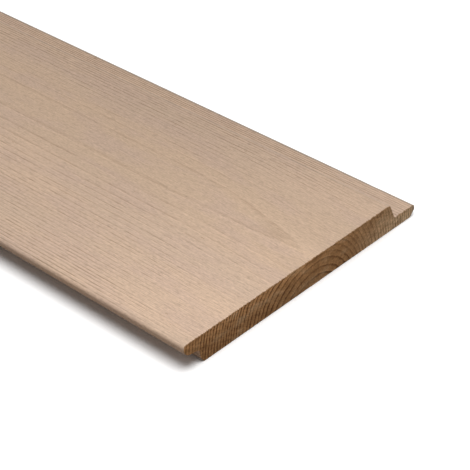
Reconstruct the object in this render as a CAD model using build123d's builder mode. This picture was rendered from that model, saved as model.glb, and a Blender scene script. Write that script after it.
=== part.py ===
from build123d import *
import os
from math import radians, tan

# Siding board of solid softwood, milled with a lap joint along both long edges.
# The board lies flat with its weather face up. The nose, its lower edge on a wall,
# points to -Y, and the tongue, its upper edge, points to +Y. The origin is the
# centre of the back face. All sizes are in millimetres and degrees.

# Overall size
board_length = 2440.0
board_width = 185.0
board_thickness = 17.5

# Tongue: the thin lip left along the back, which the next board up covers
tongue_thickness = 7.0
tongue_arris_radius = 1.6
tip_bevel_run = 3.6
tip_bevel_rise = 3.6
tip_bevel_radius = 1.0

# Rebate under the nose, which takes the tongue of the board below
rebate_depth = 11.5
lap_clearance = 2.0
rebate_root_radius = 3.0
heel_bevel_run = 2.7
heel_bevel_rise = 4.5
heel_bevel_radius = 1.0

# Nose: the overhanging part of the weather face, undercut so that water drips off it
nose_undercut_angle = 8.0
nose_face_radius = 2.2
nose_lip_radius = 5.2

# Channel between two laid boards, with the bevelled shoulder as its upper side
channel_floor = 6.4
shoulder_lean = 27.0
shoulder_arris_radius = 0.5
shoulder_root_radius = 2.0

# Heights that follow from the sizes, measured from the back face
rebate_height = tongue_thickness + lap_clearance
nose_lip_height = rebate_height + rebate_depth * tan(radians(nose_undercut_angle))
nose_thickness = board_thickness - nose_lip_height
shoulder_height = board_thickness - tongue_thickness

# Widths that follow from the sizes, measured from the edge of the nose
tongue_width = rebate_depth + channel_floor
shoulder_root_y = board_width - tongue_width
shoulder_top_y = shoulder_root_y - shoulder_height * tan(radians(shoulder_lean))

# On a thin board the two rounded corners of the nose share its thickness
lip_rounding = nose_lip_radius * tan(radians(45 - nose_undercut_angle / 2))
rounded_share = min(1, nose_thickness / (nose_face_radius + lip_rounding))
face_radius = nose_face_radius * rounded_share
lip_radius = nose_lip_radius * rounded_share

# Corners of the section as (y, z)
heel_back = (rebate_depth + heel_bevel_run, 0)
heel_front = (rebate_depth, heel_bevel_rise)
rebate_root = (rebate_depth, rebate_height)
nose_lip = (0, nose_lip_height)
nose_face = (0, board_thickness)
shoulder_top = (shoulder_top_y, board_thickness)
shoulder_root = (shoulder_root_y, tongue_thickness)
tongue_arris = (board_width, tongue_thickness)
tip_front = (board_width, tip_bevel_rise)
tip_back = (board_width - tip_bevel_run, 0)

# Each corner in turn round the section, with the radius that eases it
corner_radii = {
    heel_back: heel_bevel_radius,
    heel_front: heel_bevel_radius,
    rebate_root: rebate_root_radius,
    nose_lip: lip_radius,
    nose_face: face_radius,
    shoulder_top: shoulder_arris_radius,
    shoulder_root: shoulder_root_radius,
    tongue_arris: tongue_arris_radius,
    tip_front: tip_bevel_radius,
    tip_back: tip_bevel_radius,
}

# The section stands on the plane of the far end, with the middle of the board at y = 0
far_end = Plane(
    origin=(-board_length / 2, -board_width / 2, 0),
    x_dir=(0, 1, 0),
    z_dir=(1, 0, 0),
)

with BuildPart() as siding_board:
    with BuildSketch(far_end):
        with BuildLine():
            FilletPolyline(*corner_radii, radius=corner_radii.values(), close=True)
        make_face()
    extrude(amount=board_length)

siding_board.part.label = "siding_board"

os.makedirs("parts", exist_ok=True)
export_step(siding_board.part, "parts/siding_board.step")
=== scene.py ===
import math
from typing import NamedTuple

import bpy
import numpy as np
from mathutils import Matrix, Vector
from mathutils.geometry import delaunay_2d_cdt


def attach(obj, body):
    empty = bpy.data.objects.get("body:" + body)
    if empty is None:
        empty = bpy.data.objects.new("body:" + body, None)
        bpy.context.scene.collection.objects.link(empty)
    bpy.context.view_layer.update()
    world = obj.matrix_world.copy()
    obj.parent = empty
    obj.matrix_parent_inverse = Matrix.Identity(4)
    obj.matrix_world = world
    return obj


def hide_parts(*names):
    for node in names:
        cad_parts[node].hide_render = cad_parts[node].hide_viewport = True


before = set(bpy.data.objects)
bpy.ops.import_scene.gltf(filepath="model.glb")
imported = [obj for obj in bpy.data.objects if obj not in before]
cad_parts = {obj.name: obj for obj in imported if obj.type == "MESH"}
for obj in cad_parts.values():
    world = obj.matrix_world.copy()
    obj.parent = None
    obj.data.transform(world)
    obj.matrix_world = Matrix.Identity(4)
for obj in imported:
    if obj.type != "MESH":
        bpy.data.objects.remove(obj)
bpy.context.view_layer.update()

# The board runs along X, with its tongue towards +Y and its weather face up. Its back face is
# at z = 0 and the middle of its width at y = 0. The near end is the one at +X. The board and its
# materials are in millimetres, and MM turns them into Blender's metres. The stage, the lamps and
# the camera are in metres.

MM = 0.001

# Section

BOARD_LENGTH = 2440.0
BOARD_WIDTH = 185.0
BOARD_THICKNESS = 17.5
TONGUE_THICKNESS = 7.0
REBATE_DEPTH = 11.5
REBATE_HEIGHT = 9.0

RELIEF_FACE = 0.06       # how far the soft wood lies below the latewood
RELIEF_EDGE = 0.03
RELIEF_BACK = 0.06


class Corner(NamedTuple):
    """A corner of the section, and the straight run from it to the next corner."""

    y: float             # from the edge of the nose
    z: float             # from the back face
    radius: float        # of the arc that eases the corner
    wear: float          # how worn the corner looks, 0 to 1
    pitch: float         # most distance between the mesh's points on the run
    relief: float        # depth of the grain relief on the run


# The same milled section as the solid's, clockwise as seen from the near end
SECTION = {
    "heel_back": Corner(
        14.2, 0.0, radius=1.0, wear=0.4, pitch=1.0, relief=RELIEF_EDGE),
    "heel_front": Corner(
        REBATE_DEPTH, 4.5, radius=1.0, wear=0.4, pitch=1.0, relief=RELIEF_EDGE),
    "rebate_root": Corner(
        REBATE_DEPTH, REBATE_HEIGHT, radius=3.0, wear=0.0, pitch=1.0, relief=RELIEF_EDGE),
    "nose_lip": Corner(
        0.0, 10.616, radius=5.2, wear=0.2, pitch=0.8, relief=RELIEF_EDGE),
    "nose_face": Corner(
        0.0, BOARD_THICKNESS, radius=2.2, wear=0.1, pitch=0.6, relief=RELIEF_FACE),
    "shoulder_top": Corner(
        161.75, BOARD_THICKNESS, radius=0.5, wear=0.5, pitch=0.8, relief=RELIEF_EDGE),
    "shoulder_root": Corner(
        167.1, TONGUE_THICKNESS, radius=2.0, wear=0.0, pitch=0.6, relief=RELIEF_FACE),
    "tongue_arris": Corner(
        BOARD_WIDTH, TONGUE_THICKNESS, radius=1.6, wear=1.0, pitch=0.8, relief=RELIEF_EDGE),
    "tip_front": Corner(
        BOARD_WIDTH, 3.6, radius=1.0, wear=0.8, pitch=0.8, relief=RELIEF_EDGE),
    "tip_back": Corner(
        181.4, 0.0, radius=1.0, wear=0.5, pitch=1.0, relief=RELIEF_BACK),
}

# Growth rings

# They are superellipses about a pith line that runs along the board below its back face, so the
# faces, the edges and both ends cut the same rings. u is the distance from the near end.

PITH_Y = 13.5
PITH_DEPTH = 13.9
BEND_SHIFT = -6.0        # how far the young rings bend aside, towards the nose, at the near end
BEND_SHIFT_LENGTH = 90.0
BEND_DIP = -1.9          # and how far they bend down there
BEND_DIP_LENGTH = 100.0
BEND_RADIUS = 30.0       # the rings further out than this bend less and less
BEND_REACH = 85.0        # and from this radius on they are straight
WANDER_START = 380.0     # distances from the near end over which the pith begins to wander
WANDER_FULL = 900.0
WANDER_Y = 7.0
WANDER_Z = 3.5
WANDER_Y_PERIOD = 1700.0
WANDER_Z_PERIOD = 1450.0

ARCH_RADIUS = 33.24      # the ring whose top breaks through the face close to the near end
YOUNG_RING = 4.8         # width of the rings near the pith
OLD_RING = 1.95          # width of the outer rings
MIDDLE_RING = 0.8        # how much wider a few good years between them are
MIDDLE_RADIUS = 50.0
MIDDLE_SPAN = 8.0
YOUNG_RADIUS = 28.5      # radius at which the rings begin to narrow
RING_FADE = 6.0          # radius over which the young growth gives way to the old
RING_SPREAD = 0.15       # unevenness of the ring widths, as a share of them
OUTER_RADIUS = 125.0

NOSE_SQUARENESS = 2.73   # powers of the outer rings, where 2 is a circle
TONGUE_SQUARENESS = 2.2
SQUARE_START = 25.0      # radii over which the rings turn from circles into those
SQUARE_FULL = 60.0
NOSE_SQUEEZE = 0.9       # below 1 the rings reach further out on that side, above 1 less far
TONGUE_SQUEEZE = 1.12    # this one sets in as the rings turn square

WAVE_DEPTH = 0.22        # how far the outer rings waver in and out
WAVE_ALONG = 0.25        # the waver is four times as long along the grain as across it
WAVE_START = 30.0        # radii over which it sets in
WAVE_FULL = 60.0

LATE_START = 1.1         # the latewood begins this far before the end of the year's ring
LATE_HARD = 0.3          # is at its hardest from here on
LATE_END = 0.12          # and goes soft again over the last of it

SEED = 7


def smoothstep(low, high, value):
    """0 below low, 1 above high, and a smooth rise between them."""
    share = np.clip((value - low) / (high - low), 0.0, 1.0)
    return share * share * (3.0 - 2.0 * share)


def ripple(rng, waves, shortest, longest):
    """A smooth function of a place, mostly between -1 and 1, made of a few sines."""
    pitch = np.exp(rng.uniform(math.log(shortest), math.log(longest), waves))
    aim = rng.normal(size=(waves, 3))
    aim = aim / np.linalg.norm(aim, axis=1)[:, None]
    phase = rng.uniform(0.0, 2.0 * math.pi, waves)

    def value(x, y, z):
        total = 0.0
        for p, a, f in zip(pitch, aim, phase):
            total = total + np.sin(2.0 * math.pi * (a[0] * x + a[1] * y + a[2] * z) / p + f)
        return total / math.sqrt(waves)

    return value


def ring_edges():
    """Radii at which each year's growth ends, worked outwards and inwards from the arch's ring."""
    rng = np.random.default_rng(SEED)

    def width(radius):
        young = math.exp(-max(radius - YOUNG_RADIUS, 0.0) / RING_FADE)
        good = MIDDLE_RING * math.exp(-((radius - MIDDLE_RADIUS) / MIDDLE_SPAN) ** 2)
        mean = OLD_RING + (YOUNG_RING - OLD_RING) * young + good
        return mean * (1.0 + RING_SPREAD * rng.uniform(-1.0, 1.0))

    outward = [ARCH_RADIUS]
    while outward[-1] < OUTER_RADIUS:
        outward.append(outward[-1] + width(outward[-1]))
    inward = [ARCH_RADIUS]
    while inward[-1] > 0.0:
        inward.append(inward[-1] - width(inward[-1]))
    return np.array(inward[:0:-1] + outward)


RING_EDGES = ring_edges()
RING_WAVE = ripple(np.random.default_rng(SEED + 1), waves=5, shortest=45.0, longest=160.0)


def pith(x):
    """Place of the pith line at x, as y and z."""
    u = BOARD_LENGTH / 2 - x
    wander = smoothstep(WANDER_START, WANDER_FULL, u)
    y = PITH_Y + wander * WANDER_Y * np.sin(2.0 * math.pi * u / WANDER_Y_PERIOD)
    z = -PITH_DEPTH + wander * WANDER_Z * np.sin(2.0 * math.pi * u / WANDER_Z_PERIOD)
    return y, z


def ring_radius(across, up):
    """Radius of the ring through a point. The rings grow a little square as they widen."""
    square = smoothstep(SQUARE_START, SQUARE_FULL, np.hypot(across, up))
    full = np.where(across < 0.0, NOSE_SQUARENESS, TONGUE_SQUARENESS)
    power = 2.0 + (full - 2.0) * square
    tongue_squeeze = 1.0 + (TONGUE_SQUEEZE - 1.0) * square
    squeeze = np.where(across < 0.0, NOSE_SQUEEZE, tongue_squeeze)
    return ((np.abs(across) * squeeze) ** power + np.abs(up) ** power) ** (1.0 / power)


def growth(x, y, z):
    """Age in rings, width of the ring and bearing from the pith, at each point."""
    pith_y, pith_z = pith(x)
    u = BOARD_LENGTH / 2 - x
    young = 1.0 - smoothstep(BEND_RADIUS, BEND_REACH, ring_radius(y - pith_y, z - pith_z))
    across = y - pith_y - young * BEND_SHIFT * (1.0 - smoothstep(0.0, BEND_SHIFT_LENGTH, u))
    up = z - pith_z - young * BEND_DIP * (1.0 - smoothstep(0.0, BEND_DIP_LENGTH, u))
    radius = ring_radius(across, up)
    wave = WAVE_DEPTH * RING_WAVE(WAVE_ALONG * x, y, z)
    radius = radius + wave * smoothstep(WAVE_START, WAVE_FULL, radius)
    age = np.interp(radius, RING_EDGES, np.arange(len(RING_EDGES)))
    middles = (RING_EDGES[1:] + RING_EDGES[:-1]) / 2
    width = np.interp(radius, middles, np.diff(RING_EDGES))
    return age, width, np.arctan2(across, up)


def latewood(age, width):
    """0 in the soft early growth, rising to 1 at the hard dark end of each year."""
    to_edge = (1.0 - (age - np.floor(age))) * width
    hard = 1.0 - smoothstep(LATE_HARD, LATE_START, to_edge)
    return hard * smoothstep(0.0, LATE_END, to_edge)


# Board mesh

ARC_STEP = math.radians(9.0)
ARC_LEAST_STEPS = 3
ARRIS_REACH = 0.6        # how far from its corner an arris looks worn

# Distances from either end of the stations near it, and the most distance between the others
END_STEPS = [0.0, 0.4, 1.2, 2.4, 4.0, 6.5, 9.5, 13.0, 17.0, 22.0, 28.0, 35.0, 43.0, 52.0]
LONG_STEP = 20.5

CAP_PITCH = 0.62         # distance between the points of a cut end
CAP_JITTER = 0.18        # how uneven they are, as a share of it
CAP_MARGIN = 0.42        # their least distance from the rim
INSIDE_ONLY = 1          # the triangulation's setting for what lies within its edges
SAME_PLACE = 1e-6        # points nearer to each other than this are one

NICK_DEPTH = 0.12        # of the dents in the worn arrises
NICK_START = 0.3         # values of their ripple between which a dent deepens
NICK_FULL = 1.6
RIM_ROUNDING = 0.06      # how far the rim of a cut end is drawn in
RIM_FRAYING = 0.12       # how far its soft wood is torn back at most
RIM_FRAYING_LEAST = 0.3  # and at least, as a share of that
CAP_RELIEF = 0.07        # how far the soft wood of a cut end lies below the latewood
SAW_RELIEF = 0.04        # depth of the saw's marks
SAW_SLANT = 0.37         # their fall towards the tongue, as a share of the distance across
TEAR_RELIEF = 0.03       # mean depth of the torn fibres

SHARP_ANGLE = math.radians(38.0)
END_GRAIN_SLOT = 1       # the cut ends' place among the board's materials


def turn_between(before, after):
    """The angle from one heading to the next, positive to the left."""
    return math.atan2(before[0] * after[1] - before[1] * after[0], before @ after)


def left_of(heading):
    """The direction to the left, which is outwards, because the section runs clockwise."""
    return np.array([-heading[1], heading[0]])


def corner_arc(corner, start, heading, turn):
    """Rows of the outline on the arc that eases a corner."""
    first = left_of(heading)
    side = -1.0 if turn < 0 else 1.0
    centre = start + side * corner.radius * first
    steps = max(ARC_LEAST_STEPS, math.ceil(abs(turn) / ARC_STEP))
    rows = []
    for k in range(steps + 1):
        angle = turn * k / steps
        c, s = math.cos(angle), math.sin(angle)
        normal = np.array([c * first[0] - s * first[1], s * first[0] + c * first[1]])
        place = centre - side * corner.radius * normal
        rows.append((*place, *normal, RELIEF_EDGE, corner.wear))
    return rows


def straight_run(corner, start, end, heading):
    """Rows of the outline between the arcs of a corner and of the next one."""
    steps = max(1, math.ceil(np.linalg.norm(end - start) / corner.pitch))
    rows = []
    for k in range(1, steps):
        place = start + (end - start) * k / steps
        rows.append((*place, *left_of(heading), corner.relief, 0.0))
    return rows


def worn_nearby(place, wear):
    """How worn each point looks, from the worn corners and its distance to them."""
    worn = wear > 0.0
    gap = np.hypot(place[:, :1] - place[worn, 0], place[:, 1:] - place[worn, 1])
    return (wear[worn] * np.exp(-(gap / ARRIS_REACH) ** 2)).max(1)


def section_outline():
    """Rows round the section: y, z, the outward normal, the depth of the relief and the wear."""
    corners = list(SECTION.values())
    order = range(len(corners))
    place = [np.array([corner.y - BOARD_WIDTH / 2, corner.z]) for corner in corners]
    run = [after - before for before, after in zip(place, place[1:] + place[:1])]
    heading = [r / np.linalg.norm(r) for r in run]
    turn = [turn_between(heading[i - 1], heading[i]) for i in order]
    reach = [corners[i].radius * abs(math.tan(turn[i] / 2)) for i in order]
    arc_start = [place[i] - heading[i - 1] * reach[i] for i in order]
    arc_end = [place[i] + heading[i] * reach[i] for i in order]
    next_start = arc_start[1:] + arc_start[:1]
    rows = []
    for i, corner in enumerate(corners):
        rows += corner_arc(corner, arc_start[i], heading[i - 1], turn[i])
        rows += straight_run(corner, arc_end[i], next_start[i], heading[i])
    outline = np.array(rows)
    outline[:, -1] = worn_nearby(outline[:, :2], outline[:, -1])
    return outline


def stations():
    """Places along the board at which the section is repeated, closer near the ends."""
    half = BOARD_LENGTH / 2
    inner = half - END_STEPS[-1]
    middle = np.linspace(-inner, inner, 2 * math.ceil(inner / LONG_STEP) + 1)
    ends = half - np.array(END_STEPS[:-1])
    return np.concatenate([-ends, middle, ends[::-1]])


def inside(points, rim):
    """Which of the points lie within the rim: those with an odd number of edges on one side."""
    y0, z0 = rim.T
    y1, z1 = np.roll(y0, -1), np.roll(z0, -1)
    y, z = points[:, :1], points[:, 1:]
    spans = (z0 > z) != (z1 > z)
    rise = np.where(z1 == z0, 1.0, z1 - z0)
    crossing = y0 + (z - z0) * (y1 - y0) / rise
    return (spans & (y < crossing)).sum(1) % 2 == 1


def cap_points(rim):
    """Points over a cut end, within its rim, on a slightly uneven grid of triangles."""
    rng = np.random.default_rng(SEED + 2)
    low, high = rim.min(0), rim.max(0)
    ys = np.arange(low[0], high[0], CAP_PITCH)
    zs = np.arange(low[1], high[1], CAP_PITCH * math.sqrt(3) / 2)
    grid_y, grid_z = np.meshgrid(ys, zs)
    grid_y[1::2] += CAP_PITCH / 2
    grid = np.stack([grid_y.ravel(), grid_z.ravel()], 1)
    grid += rng.uniform(-CAP_JITTER, CAP_JITTER, grid.shape) * CAP_PITCH
    grid = grid[inside(grid, rim)]
    gap = np.hypot(grid[:, :1] - rim[:, 0], grid[:, 1:] - rim[:, 1]).min(1)
    return grid[gap > CAP_MARGIN]


def cap_triangles(rim, inner):
    """Triangles over a cut end. They number the points of the rim first, then the inner ones."""
    points = [Vector(p) for p in np.concatenate([rim, inner])]
    edges = [(i, (i + 1) % len(rim)) for i in range(len(rim))]
    result = delaunay_2d_cdt(points, edges, [], INSIDE_ONLY, SAME_PLACE)
    _, _, triangles, sources, _, _ = result
    origin = [min(source) for source in sources]
    return [[origin[i] for i in triangle] for triangle in triangles]


def side_points(outline, xs, rng):
    """Points of the long faces, station by station, and what the materials read at them."""
    y, z, normal_y, normal_z, relief, arris = outline.T
    grid_x = np.repeat(xs[:, None], len(outline), axis=1)
    grid_y = np.repeat(y[None, :], len(xs), axis=0)
    grid_z = np.repeat(z[None, :], len(xs), axis=0)
    age, width, bearing = growth(grid_x, grid_y, grid_z)
    soft = 1.0 - latewood(age, width)
    nicks = ripple(rng, waves=7, shortest=6.0, longest=40.0)
    nicked = smoothstep(NICK_START, NICK_FULL, nicks(grid_x, grid_y, grid_z))
    inset = relief * soft + arris * NICK_DEPTH * nicked
    inset[0] += RIM_ROUNDING
    inset[-1] += RIM_ROUNDING
    frayed = RIM_FRAYING * soft * rng.uniform(RIM_FRAYING_LEAST, 1.0, soft.shape)
    grid_x[0] += frayed[0]
    grid_x[-1] -= frayed[-1]
    place = np.stack([grid_x, grid_y - normal_y * inset, grid_z - normal_z * inset], -1)
    return {
        "place": place.reshape(-1, 3),
        "ring_age": age.ravel(),
        "ring_width": width.ravel(),
        "bearing": bearing.ravel(),
        "arris": np.repeat(arris[None, :], len(xs), axis=0).ravel(),
    }


def end_points(inner, outward, saw, tear):
    """Points of one cut end, sunk by its texture, and what the materials read at them."""
    y, z = inner.T
    x = np.full(len(inner), outward * BOARD_LENGTH / 2)
    age, width, bearing = growth(x, y, z)
    sunk = CAP_RELIEF * (1.0 - latewood(age, width))
    sunk += SAW_RELIEF * (0.5 + 0.5 * saw(0.0, 0.0, y * SAW_SLANT + z))
    sunk += TEAR_RELIEF * (1.0 + tear(x, y, z))
    x = x - outward * np.clip(sunk, 0.0, None)
    return {
        "place": np.stack([x, y, z], 1),
        "ring_age": age,
        "ring_width": width,
        "bearing": bearing,
        "arris": np.zeros(len(inner)),
    }


def side_faces(rim, rows):
    """Quads of the long faces, between each station and the next."""
    quads = []
    for j in range(rows - 1):
        for k in range(rim):
            n = (k + 1) % rim
            quads.append((j * rim + k, (j + 1) * rim + k, (j + 1) * rim + n, j * rim + n))
    return quads


def end_faces(triangles, rim, rim_start, inner_start):
    """The triangles of one cut end, with the numbers that its points have in the mesh."""
    faces = []
    for triangle in triangles:
        faces.append([rim_start + i if i < rim else inner_start + i - rim for i in triangle])
    return faces


def wood_mesh(parts, sides, ends):
    """The board's mesh, with a layer for each value that the materials read."""
    values = {name: np.concatenate([part[name] for part in parts]) for name in parts[0]}
    place = values.pop("place") * MM
    mesh = bpy.data.meshes.new("siding_board_wood")
    mesh.from_pydata(place.tolist(), [], sides + ends)
    for name, value in values.items():
        layer = mesh.attributes.new(name, "FLOAT", "POINT")
        layer.data.foreach_set("value", value.astype(np.float32))
    slots = np.zeros(len(mesh.polygons), np.int32)
    slots[len(sides):] = END_GRAIN_SLOT
    mesh.polygons.foreach_set("material_index", slots)
    mesh.shade_smooth()
    mesh.set_sharp_from_angle(angle=SHARP_ANGLE)
    mesh.update()
    return mesh


def build_board():
    """The board as one closed mesh: the long faces, and a cap over each end."""
    outline = section_outline()
    xs = stations()
    rng = np.random.default_rng(SEED + 3)
    sides = side_points(outline, xs, rng)
    inner = cap_points(outline[:, :2])
    triangles = cap_triangles(outline[:, :2], inner)
    saw = ripple(rng, waves=4, shortest=3.0, longest=9.0)
    tear = ripple(rng, waves=9, shortest=1.6, longest=6.0)
    far_end = end_points(inner, -1.0, saw, tear)
    near_end = end_points(inner, 1.0, saw, tear)

    rim, rows = len(outline), len(xs)
    far_faces = end_faces(triangles, rim, 0, rim * rows)
    far_faces = [face[::-1] for face in far_faces]
    near_faces = end_faces(triangles, rim, rim * (rows - 1), rim * rows + len(inner))
    parts = [sides, far_end, near_end]
    mesh = wood_mesh(parts, side_faces(rim, rows), far_faces + near_faces)
    board = bpy.data.objects.new("board", mesh)
    bpy.context.scene.collection.objects.link(board)
    return board


# Nodes

MIX_A = 6                # the mix node's sockets for colours, which share names with others
MIX_B = 7
MIX_RESULT = 2


class Nodes:
    """Adds nodes to a tree. A value is a number, a colour or another node's output."""

    def __init__(self, tree):
        self.tree = tree

    def node(self, kind, **settings):
        made = self.tree.nodes.new(kind)
        for key, value in settings.items():
            setattr(made, key, value)
        return made

    def put(self, socket, value):
        if isinstance(value, bpy.types.NodeSocket):
            self.tree.links.new(value, socket)
        else:
            socket.default_value = value

    def filled(self, kind, **inputs):
        """The output of a node whose inputs are given by name."""
        made = self.node(kind)
        for name, value in inputs.items():
            self.put(made.inputs[name], value)
        return made.outputs[0]

    def calc(self, operation, a, b=0.0):
        made = self.node("ShaderNodeMath", operation=operation)
        self.put(made.inputs[0], a)
        self.put(made.inputs[1], b)
        return made.outputs[0]

    def times(self, total, *factors):
        for factor in factors:
            total = self.calc("MULTIPLY", total, factor)
        return total


class WoodNodes(Nodes):
    """The nodes of one wood material. Its x, y and z are in metres, and across in millimetres."""

    def __init__(self, name):
        self.material = bpy.data.materials.new(name)
        self.material.use_nodes = True
        super().__init__(self.material.node_tree)
        self.place = self.node("ShaderNodeTexCoord").outputs["Object"]
        split = self.node("ShaderNodeSeparateXYZ")
        self.put(split.inputs[0], self.place)
        self.x, self.y, self.z = split.outputs
        self.across = self.times(self.y, 1 / MM)

    def attribute(self, name):
        return self.node("ShaderNodeAttribute", attribute_name=name).outputs["Fac"]

    def combine(self, x, y, z):
        return self.filled("ShaderNodeCombineXYZ", X=x, Y=y, Z=z)

    def noise_at(self, place, detail=2.0, roughness=0.5):
        return self.filled("ShaderNodeTexNoise", Vector=place, Scale=1.0, Detail=detail,
                           Roughness=roughness)

    def noise(self, size, detail=2.0, roughness=0.5):
        """A noise with details of a size along, across and up the board."""
        made = self.node("ShaderNodeVectorMath", operation="MULTIPLY")
        self.put(made.inputs[0], self.place)
        self.put(made.inputs[1], tuple(1 / MM / s for s in size))
        return self.noise_at(made.outputs[0], detail, roughness)

    def ramp(self, value, ramp):
        """A smooth change. The ramp is where it starts and stops, and its values there."""
        made = self.node("ShaderNodeMapRange", interpolation_type="SMOOTHSTEP")
        self.put(made.inputs["Value"], value)
        for name, setting in zip(("From Min", "From Max", "To Min", "To Max"), ramp):
            self.put(made.inputs[name], setting)
        return made.outputs[0]

    def mix(self, share, a, b, blend="MIX"):
        made = self.node("ShaderNodeMix", data_type="RGBA", blend_type=blend)
        self.put(made.inputs[0], share)
        for socket, colour in ((MIX_A, a), (MIX_B, b)):
            plain = isinstance(colour, tuple)
            self.put(made.inputs[socket], (*colour, 1.0) if plain else colour)
        return made.outputs[MIX_RESULT]

    def tinted(self, colour, *shades):
        """The colour made lighter or darker by each shade, where 1 leaves it as it is."""
        for shade in shades:
            colour = self.mix(1.0, colour, self.combine(shade, shade, shade), "MULTIPLY")
        return colour

    def finish(self, colour, roughness, specular, height, depth):
        """The material, with a surface raised by the height times the depth in millimetres."""
        normal = self.filled("ShaderNodeBump", Strength=1.0, Distance=depth * MM, Height=height)
        surface = self.tree.nodes["Principled BSDF"]
        self.put(surface.inputs["Base Color"], colour)
        self.put(surface.inputs["Roughness"], roughness)
        self.put(surface.inputs["Specular IOR Level"], specular)
        self.put(surface.inputs["Normal"], normal)
        return self.material


# Materials

# In both materials a size is that of the details along, across and up the board. A ramp says
# where it starts and stops, and its values there. Unless a comment says otherwise, it runs over a
# noise, which stays mostly between 0.25 and 0.75, or over a distance: across the board from its
# middle, or along it from the nearer end. A tint makes the colour lighter above 1 and darker below.

LATE_FULL = 0.3          # share of a line's thickness in which it is at its darkest
FRESH_START = 0.1        # how far the wood grown after it stays at its palest


def centred_noise(s, size, amount):
    """A noise that goes up and down from 0 by as much as half the amount."""
    return s.times(s.calc("SUBTRACT", s.noise(size), 0.5), amount)


def late_line(s, age, width, thickness, fall):
    """The latewood of each ring, which darkens over the thickness and ends over the fall."""
    left = s.times(s.calc("SUBTRACT", 1.0, s.calc("FRACT", age)), width)
    rise = s.ramp(left, (LATE_FULL * thickness, thickness, 1.0, 0.0))
    return s.times(rise, s.ramp(left, (0.0, fall, 0.0, 1.0)))


def fresh_line(s, age, width, thickness):
    """The pale wood that each ring begins with."""
    grown = s.times(s.calc("FRACT", age), width)
    return s.ramp(grown, (FRESH_START, thickness, 1.0, 0.0))


# Stained wood of the long faces

STAIN_GREY = (0.600, 0.440, 0.325)
STAIN_WARM = (0.635, 0.458, 0.332)
STAIN_PINK = (0.610, 0.441, 0.340)
STAIN_YOUNG = (0.630, 0.448, 0.304)
STAIN_LINE = (0.33, 0.215, 0.14)
FLECK = (0.16, 0.09, 0.05)
WORN_EDGE = (0.33, 0.29, 0.25)
BARE_RIM = (0.26, 0.15, 0.07)

# Grain lines: how they waver and break up, and how strong they are
LINE_WAVER_SIZE = (60.0, 4.0, 4.0)
LINE_WAVER = 0.3
LINE_THICKNESS = 0.68
LINE_FALL = 0.1
LINE_BREAK_SIZE = (8.0, 1.3, 1.3)
LINE_BREAK = (0.33, 0.62, 0.35, 1.2)
STRENGTH_LENGTH = 45.0   # along a line, over which its strength changes
STRENGTH_STEP = 3.7      # from one line to the next, so that each has a strength of its own
STRENGTH = (0.3, 0.7, 0.25, 0.66)
LINE_BY_RING = (7.0, 19.0, 0.85, 1.3)          # over the number of the ring, from the pith
LINE_AT_END = (10.0, 90.0, 0.4, 1.0)
LINE_FURTHER_IN = (120.0, 320.0, 1.0, 1.35)
LINE_AT_NOSE = (-88.0, -55.0, 1.3, 1.0)
LINE_AT_MIDDLE = (3.0, 9.0, 0.85, 1.15)
LINE_PAST_MIDDLE = (9.0, 40.0, 1.0, 0.6)
LINE_AT_SHOULDER = (40.0, 58.0, 1.0, 2.1)
LINE_ON_TONGUE = (66.0, 76.0, 1.0, 2.2)

# The arch of the young rings near the end: its line is even and clear, and those beside it faint
ARCH_Y = 13.0
ARCH_ACROSS = (5.0, 14.0, 1.0, 0.0)            # over the distance from its middle line
ARCH_ALONG = (35.0, 110.0, 1.0, 0.0)
ARCH_STRENGTH = 0.46
LINE_BESIDE_ARCH = (12.0, 28.0, 0.65, 1.0)     # over the same distance

# Patches and clouds of the stain
PATCH_SIZE = (150.0, 30.0, 30.0)
PATCH_WARM = (0.35, 0.65, 0.0, 1.0)
YOUNG_FROM = (-30.0, 0.0, 0.0, 1.0)
YOUNG_TO = (30.0, 55.0, 1.0, 0.0)
YOUNG_SHARE = 0.45
CLOUD_SIZE = (45.0, 14.0, 14.0)
CLOUD_PINK = (0.42, 0.66, 0.0, 0.6)
CLOUD_TINT = (0.3, 0.7, 1.014, 0.986)
TONGUE_TINT = (66.0, 76.0, 1.0, 1.04)

# Tints over the grain lines
FRESH_TINT = (0.0, 0.5, 1.0, 1.05)             # over the share of pale wood beside a line
STREAK_SIZE = (120.0, 0.9, 0.9)
STREAK_TINT = (0.3, 0.7, 0.975, 1.02)
FIBRE_SIZE = (7.0, 0.6, 0.6)
FIBRE_TINT = (0.25, 0.75, 0.88, 1.11)
DASH_SIZE = (3.5, 0.8, 0.8)
DASH_TINT = (0.5, 0.75, 1.02, 0.89)
SPECKLE_SIZE = (1.7, 0.7, 0.7)
SPECKLE_TINT = (0.25, 0.75, 0.93, 1.07)
# Painted light: the faces are lighter towards the nose and within about 140 mm of either end
PAINTED_LIGHT_ACROSS_TINT = (-90.0, 75.0, 1.05, 0.92)
PAINTED_LIGHT_END_TINT = (15.0, 140.0, 1.012, 0.935)
FURTHER_IN_TINT = (160.0, 300.0, 1.0, 1.02)

# Dark flecks, worn arrises, and the rim of the cut ends, where the stain has chipped off
FLECK_SIZE = (11.0, 1.1, 1.1)
FLECK_MASK = (0.80, 0.84, 0.0, 1.0)
FLECK_SHARE = 0.5
WORN_BY_FIBRE = (0.3, 0.6, 0.3, 0.75)
CHIP_SIZE = (6.0, 0.8, 0.8)
CHIP_REACH = (0.05, 0.9, 0.62, 0.2)
CHIP_EDGE = (-0.04, 0.04, 0.0, 1.0)            # over how far the reach stands above the noise

# Surface: the fibres and the latewood stand up, and the dashes are small pits
LINE_HEIGHT = 0.4
DASH_DEPTH = (0.5, 0.75, 0.0, 0.8)
STAINED_BUMP = 0.07
STAINED_ROUGHNESS = (0.2, 0.8, 0.6, 0.75)
STAINED_SPECULAR = 0.2


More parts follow.
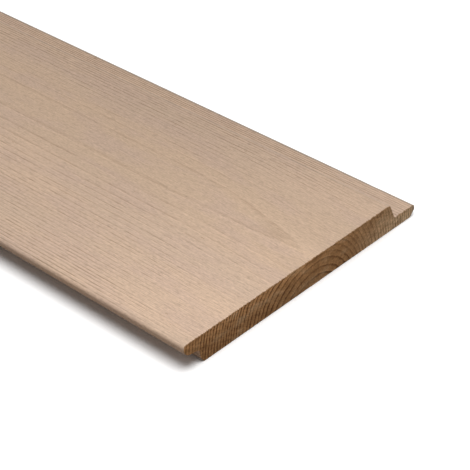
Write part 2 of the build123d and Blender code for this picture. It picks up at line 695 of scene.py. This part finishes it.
def face_lines(s, from_end):
    """The latewood on the faces, its dark line in the stain, and the pale line beside that."""
    width = s.attribute("ring_width")
    waver = s.calc("DIVIDE", centred_noise(s, LINE_WAVER_SIZE, LINE_WAVER), width)
    age = s.calc("ADD", s.attribute("ring_age"), waver)
    late = late_line(s, age, width, LINE_THICKNESS, LINE_FALL)
    late = s.times(late, s.ramp(s.noise(LINE_BREAK_SIZE), LINE_BREAK))

    number = s.calc("FLOOR", age)
    run = s.times(s.x, 1 / MM / STRENGTH_LENGTH)
    varied = s.combine(run, s.times(number, STRENGTH_STEP), 0.0)
    strength = s.ramp(s.noise_at(varied, detail=3.0, roughness=0.6), STRENGTH)
    off_arch = s.calc("ABSOLUTE", s.calc("SUBTRACT", s.across, ARCH_Y))
    arch = s.times(s.ramp(off_arch, ARCH_ACROSS), s.ramp(from_end, ARCH_ALONG))
    evened = s.times(arch, s.calc("SUBTRACT", ARCH_STRENGTH, strength))
    strength = s.calc("ADD", strength, evened)

    line = s.times(
        late,
        strength,
        s.ramp(number, LINE_BY_RING),
        s.ramp(from_end, LINE_AT_END),
        s.ramp(from_end, LINE_FURTHER_IN),
        s.ramp(s.across, LINE_AT_NOSE),
        s.ramp(s.across, LINE_AT_MIDDLE),
        s.ramp(s.across, LINE_PAST_MIDDLE),
        s.ramp(s.across, LINE_AT_SHOULDER),
        s.ramp(s.across, LINE_ON_TONGUE),
        s.ramp(off_arch, LINE_BESIDE_ARCH),
        s.calc("ADD", arch, 1.0),
    )
    fresh = s.times(fresh_line(s, age, width, LINE_THICKNESS), strength)
    return late, line, fresh


def stain(s):
    """The stain by itself, in patches and pinkish clouds, and yellower over the young wood."""
    colour = s.mix(s.ramp(s.noise(PATCH_SIZE, detail=3.0), PATCH_WARM), STAIN_GREY, STAIN_WARM)
    young = s.times(s.ramp(s.across, YOUNG_FROM), s.ramp(s.across, YOUNG_TO), YOUNG_SHARE)
    colour = s.mix(young, colour, STAIN_YOUNG)
    clouds = s.noise(CLOUD_SIZE, detail=3.0)
    colour = s.mix(s.ramp(clouds, CLOUD_PINK), colour, STAIN_PINK)
    return s.tinted(colour, s.ramp(clouds, CLOUD_TINT), s.ramp(s.across, TONGUE_TINT))


def stained_wood():
    """The material of the long faces."""
    s = WoodNodes("stained_softwood")
    along = s.times(s.calc("ABSOLUTE", s.x), 1 / MM)
    from_end = s.calc("SUBTRACT", BOARD_LENGTH / 2, along)
    late, line, fresh = face_lines(s, from_end)
    fibre = s.noise(FIBRE_SIZE, detail=3.0, roughness=0.65)
    dashes = s.noise(DASH_SIZE, detail=1.0)

    colour = s.tinted(
        s.mix(line, stain(s), STAIN_LINE),
        s.ramp(fresh, FRESH_TINT),
        s.ramp(s.noise(STREAK_SIZE), STREAK_TINT),
        s.ramp(fibre, FIBRE_TINT),
        s.ramp(dashes, DASH_TINT),
        # painted light: lighter towards the nose and near either end
        s.ramp(s.across, PAINTED_LIGHT_ACROSS_TINT),
        s.ramp(from_end, PAINTED_LIGHT_END_TINT),
        s.ramp(from_end, FURTHER_IN_TINT),
        s.ramp(s.noise(SPECKLE_SIZE, detail=1.0), SPECKLE_TINT),
    )
    flecks = s.ramp(s.noise(FLECK_SIZE, detail=1.0), FLECK_MASK)
    colour = s.mix(s.times(flecks, FLECK_SHARE), colour, FLECK)
    worn = s.times(s.attribute("arris"), s.ramp(fibre, WORN_BY_FIBRE))
    colour = s.mix(worn, colour, WORN_EDGE)
    chips = s.noise(CHIP_SIZE, detail=1.0)
    chipped = s.calc("SUBTRACT", s.ramp(from_end, CHIP_REACH), chips)
    colour = s.mix(s.ramp(chipped, CHIP_EDGE), colour, BARE_RIM)

    height = s.calc("ADD", fibre, s.times(late, LINE_HEIGHT))
    height = s.calc("SUBTRACT", height, s.ramp(dashes, DASH_DEPTH))
    roughness = s.ramp(fibre, STAINED_ROUGHNESS)
    return s.finish(colour, roughness, STAINED_SPECULAR, height, STAINED_BUMP)


# Raw end grain

RAW_EARLY = (0.60, 0.335, 0.155)
RAW_LATE = (0.17, 0.075, 0.026)
RAW_PALE = (0.90, 0.67, 0.43)
RAW_GREY = (0.40, 0.36, 0.32)
RAW_DARK = (0.26, 0.125, 0.05)

# A ramp with UP in its name runs over the height as a share of the board's thickness, and is
# multiplied by the ramp across that goes with it.

# Rings: the evenness, 0 to 1, makes their lines thicker where the rings are wide
RING_WAVER_SIZE = (9.0, 3.0, 3.0)
RING_WAVER = 0.35        # in rings
RING_THICKNESS = 1.25
RING_FALL = 0.3
RING_EVENNESS = 0.7
RING_BLUR_SIZE = (9.0, 3.5, 3.5)
RING_BLUR = (0.3, 0.6, 0.4, 1.15)
RING_AT_NOSE = (-86.0, -78.0, 0.65, 1.0)
RING_TO_MIDDLE = (-35.0, 10.0, 1.0, 0.44)
RING_PAST_MIDDLE = (30.0, 48.0, 1.0, 0.7)
RING_ON_TONGUE = (60.0, 72.0, 1.0, 1.2)
RING_FOOT_UP = (0.15, 0.5, 0.7, 0.0)
RING_FOOT_ACROSS = (-15.0, 5.0, 0.0, 1.0)

# Changes of the wood's colour over the end, and light and shade painted on it
# Paler towards the tongue, which is the wood's tone, and paler still low down, which is painted
# bounce light
PALE_ACROSS = (25.0, 85.0, 0.0, 1.0)
PAINTED_BOUNCE_PALE_UP = (0.1, 0.9, 1.0, 0.45)
BLOTCH_SIZE = (20.0, 12.0, 7.0)
BLOTCH_PALE = (0.5, 0.75, 0.0, 0.3)
BLOTCH_DARK = (0.5, 0.25, 0.0, 0.45)
# Painted light and shade: lighter at the top and darker low down, mostly on the nose side
PAINTED_TOP_LIGHT_UP = (0.4, 0.95, -0.13, 0.19)
PAINTED_TOP_LIGHT_ACROSS = (-10.0, 45.0, 1.0, 0.2)
# Painted bounce light: lighter at the foot on the tongue side
PAINTED_BOUNCE_UP = (0.2, 0.8, 1.0, 0.0)
PAINTED_BOUNCE_ACROSS = (38.0, 70.0, 0.0, 0.19)
CORE_Y = -7.5
CORE_UP = (0.2, 0.45, 1.0, 0.0)
CORE_ACROSS = (8.0, 22.0, 0.13, 0.0)           # over the distance from the core's middle line
NOSE_TINT = (-86.0, -78.0, 0.92, 1.0)
MIDDLE_TINT = (-15.0, 25.0, 1.0, 0.91)
TIP_GREY = (88.5, 92.0, 0.0, 0.6)

# Texture of the end
SAW_PITCH = 1.6
SAW_TINT = (0.3, 0.7, 0.91, 1.09)
MOTTLE_SIZE = (2.0, 2.0, 2.6)
MOTTLE_TINT = (0.25, 0.75, 0.9, 1.1)
RAY_FINENESS = 90.0      # details to a radian about the pith
RAY_BREAKS = 0.6         # details to a ring
RAY_TINT = (0.25, 0.75, 0.82, 1.15)
PORE_SIZE = (0.7, 0.7, 0.7)
PORE_TINT = (0.25, 0.75, 0.75, 1.18)
RING_HEIGHT = 0.6
PORE_HEIGHT = 0.7
RAW_BUMP = 0.12
RAW_ROUGHNESS = 0.9
RAW_SPECULAR = 0.06


def end_rings(s, height_share):
    """The latewood on the cut ends, as strong as it looks in each part of them."""
    waver = centred_noise(s, RING_WAVER_SIZE, RING_WAVER)
    age = s.calc("ADD", s.attribute("ring_age"), waver)
    width = s.times(s.attribute("ring_width"), 1.0 - RING_EVENNESS)
    width = s.calc("ADD", width, RING_EVENNESS * OLD_RING)
    foot = s.times(s.ramp(height_share, RING_FOOT_UP), s.ramp(s.across, RING_FOOT_ACROSS))
    return s.times(
        late_line(s, age, width, RING_THICKNESS, RING_FALL),
        s.ramp(s.noise(RING_BLUR_SIZE), RING_BLUR),
        s.ramp(s.across, RING_AT_NOSE),
        s.ramp(s.across, RING_TO_MIDDLE),
        s.ramp(s.across, RING_PAST_MIDDLE),
        s.ramp(s.across, RING_ON_TONGUE),
        s.calc("ADD", foot, 1.0),
    )


def end_colour(s, late, height_share):
    """The raw wood with its rings and blotches: paler towards the tongue, darker at the core, with
    painted light at the top and painted bounce light at the foot.
    """
    # the wood's paling towards the tongue, grown towards the foot by painted bounce light
    pale_and_painted_bounce = s.times(s.ramp(s.across, PALE_ACROSS), s.ramp(height_share, PAINTED_BOUNCE_PALE_UP))
    colour = s.mix(pale_and_painted_bounce, RAW_EARLY, RAW_PALE)
    colour = s.mix(late, colour, RAW_LATE)
    blotch = s.noise(BLOTCH_SIZE)
    colour = s.mix(s.ramp(blotch, BLOTCH_PALE), colour, RAW_PALE)
    colour = s.mix(s.ramp(blotch, BLOTCH_DARK), colour, RAW_DARK)
    # painted light and shade: lighter at the top, darker low down
    painted_top_light = s.times(s.ramp(height_share, PAINTED_TOP_LIGHT_UP), s.ramp(s.across, PAINTED_TOP_LIGHT_ACROSS))
    # painted bounce light: lighter at the foot on the tongue side
    foot = s.times(s.ramp(s.across, PAINTED_BOUNCE_ACROSS), s.ramp(height_share, PAINTED_BOUNCE_UP))
    off_core = s.calc("ABSOLUTE", s.calc("SUBTRACT", s.across, CORE_Y))
    core = s.times(s.ramp(off_core, CORE_ACROSS), s.ramp(height_share, CORE_UP))
    return s.tinted(
        colour,
        s.calc("ADD", painted_top_light, 1.0),
        s.calc("ADD", foot, 1.0),
        s.ramp(s.across, NOSE_TINT),
        s.ramp(s.across, MIDDLE_TINT),
        s.calc("SUBTRACT", 1.0, core),
    )


def raw_end_grain():
    """The material of the cut ends."""
    s = WoodNodes("raw_end_grain")
    height_share = s.times(s.z, 1 / MM / BOARD_THICKNESS)
    late = end_rings(s, height_share)
    slant = s.calc("ADD", s.z, s.times(s.y, SAW_SLANT))
    marks = s.noise_at(s.combine(s.times(slant, 1 / MM / SAW_PITCH), 0.0, 0.0))
    round_pith = s.times(s.attribute("bearing"), RAY_FINENESS)
    rays = s.noise_at(s.combine(round_pith, s.times(s.attribute("ring_age"), RAY_BREAKS), 0.0))
    pores = s.noise(PORE_SIZE, detail=3.0, roughness=0.7)

    colour = s.tinted(
        end_colour(s, late, height_share),
        s.ramp(marks, SAW_TINT),
        s.ramp(s.noise(MOTTLE_SIZE, detail=1.0), MOTTLE_TINT),
    )
    colour = s.mix(s.ramp(s.across, TIP_GREY), colour, RAW_GREY)
    colour = s.tinted(colour, s.ramp(rays, RAY_TINT), s.ramp(pores, PORE_TINT))
    height = s.calc("ADD", s.times(late, RING_HEIGHT), s.times(pores, PORE_HEIGHT))
    return s.finish(colour, RAW_ROUGHNESS, RAW_SPECULAR, height, RAW_BUMP)


# Stage

WHITE = (1.0, 1.0, 1.0, 1.0)
FLOOR_SIZE = 60.0
FLOOR_GAP = 0.0001       # the floor lies this far under the board, so that they don't coincide
FLOOR_BOUNCE = (0.31, 0.25, 0.20, 1.0)         # its colour for the rays that carry light
# The glow's fade near the board, set by the next two, is painted shade
FLOOR_GLOW = 0.45
SHADOW_REACH = 0.06      # how near to the board the floor loses its glow
SHADOW_POWER = 2.0       # and how steeply
SKY_LIGHT = 0.12

SUN_STRENGTH = 1.74
SUN_ANGLE = math.radians(45.0)
SUN_PLACE = Vector((0.0, 0.0, 3.0))
SUN_AIM = Vector((-0.08, 0.12, -1.0))
BOX_PLACE = Vector((1.35, -0.18, 0.62))
BOX_AIM = Vector((0.0, 0.0, -1.0))
BOX_SIZE = 0.35
BOX_POWER = 1.5


def white_in_view(nodes, lit, white):
    """White for camera, glossy and transmission rays, and lit for those that carry light."""
    path = nodes.node("ShaderNodeLightPath")
    seen = path.outputs["Is Camera Ray"]
    for name in ("Is Glossy Ray", "Is Transmission Ray"):
        seen = nodes.calc("MAXIMUM", seen, path.outputs[name])
    choose = nodes.node("ShaderNodeMixShader")
    for socket, value in zip(choose.inputs, (seen, lit, white)):
        nodes.put(socket, value)
    return choose.outputs[0]


def build_world():
    world = bpy.data.worlds.new("studio")
    world.use_nodes = True
    nodes = Nodes(world.node_tree)
    lit = nodes.tree.nodes["Background"]
    nodes.put(lit.inputs["Color"], WHITE)
    nodes.put(lit.inputs["Strength"], SKY_LIGHT)
    white = nodes.filled("ShaderNodeBackground", Color=WHITE, Strength=1.0)
    output = nodes.tree.nodes["World Output"]
    nodes.put(output.inputs["Surface"], white_in_view(nodes, lit.outputs[0], white))
    bpy.context.scene.world = world


def floor_paint():
    """White with a glow that fades near the board, so that its shadow shows; the fade itself is
    painted shade.
    """
    material = bpy.data.materials.new("floor_paint")
    material.use_nodes = True
    nodes = Nodes(material.node_tree)
    nodes.tree.nodes.remove(nodes.tree.nodes["Principled BSDF"])
    lit = nodes.filled("ShaderNodeBsdfDiffuse", Color=FLOOR_BOUNCE)
    white = nodes.filled("ShaderNodeBsdfDiffuse", Color=WHITE)
    open_sky = nodes.node("ShaderNodeAmbientOcclusion")
    nodes.put(open_sky.inputs["Distance"], SHADOW_REACH)
    openness = nodes.calc("POWER", open_sky.outputs["AO"], SHADOW_POWER)
    glow = nodes.filled("ShaderNodeEmission", Strength=nodes.times(openness, FLOOR_GLOW))
    both = nodes.node("ShaderNodeAddShader")
    nodes.put(both.inputs[0], white)
    nodes.put(both.inputs[1], glow)
    output = nodes.tree.nodes["Material Output"]
    nodes.put(output.inputs["Surface"], white_in_view(nodes, lit, both.outputs[0]))
    return material


def build_floor():
    half = FLOOR_SIZE / 2
    corners = [(-half, -half, 0), (half, -half, 0), (half, half, 0), (-half, half, 0)]
    mesh = bpy.data.meshes.new("floor")
    mesh.from_pydata(corners, [], [(0, 1, 2, 3)])
    mesh.materials.append(floor_paint())
    floor = bpy.data.objects.new("floor", mesh)
    floor.location.z = -FLOOR_GAP
    bpy.context.scene.collection.objects.link(floor)


def add_lamp(name, kind, place, aim, **settings):
    light = bpy.data.lights.new(name, kind)
    for key, value in settings.items():
        setattr(light, key, value)
    lamp = bpy.data.objects.new(name, light)
    lamp.location = place
    lamp.rotation_mode = "QUATERNION"
    lamp.rotation_quaternion = aim.to_track_quat("-Z", "Y")
    lamp.visible_camera = False
    bpy.context.scene.collection.objects.link(lamp)


def build_lights():
    add_lamp("sun", "SUN", SUN_PLACE, SUN_AIM, energy=SUN_STRENGTH, angle=SUN_ANGLE)
    add_lamp("softbox", "AREA", BOX_PLACE, BOX_AIM, energy=BOX_POWER, size=BOX_SIZE)


# Camera

CAMERA_PLACE = Vector((1.63298, -0.52368, 0.50337))
CAMERA_RIGHT = Vector((0.74594, 0.66598, 0.00708))
CAMERA_AHEAD = Vector((-0.54133, 0.61245, -0.57608))
CAMERA_LENS = 123.53     # this and the width of the sensor are in millimetres
CAMERA_SENSOR = 36.0
CAMERA_NEAREST = 0.01


def build_camera():
    data = bpy.data.cameras.new("camera")
    data.lens = CAMERA_LENS
    data.sensor_width = CAMERA_SENSOR
    data.clip_start = CAMERA_NEAREST
    ahead = CAMERA_AHEAD.normalized()
    right = (CAMERA_RIGHT - ahead * CAMERA_RIGHT.dot(ahead)).normalized()
    up = right.cross(ahead)
    turn = Matrix((right, up, -ahead)).transposed()
    camera = bpy.data.objects.new("camera", data)
    camera.matrix_world = Matrix.Translation(CAMERA_PLACE) @ turn.to_4x4()
    bpy.context.scene.collection.objects.link(camera)
    bpy.context.scene.camera = camera


# Scene

build_camera()
build_world()
build_floor()
build_lights()

board = build_board()
board.data.materials.append(stained_wood())
board.data.materials.append(raw_end_grain())
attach(board, "root")
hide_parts("siding_board")

bpy.context.scene.view_settings.view_transform = "Standard"
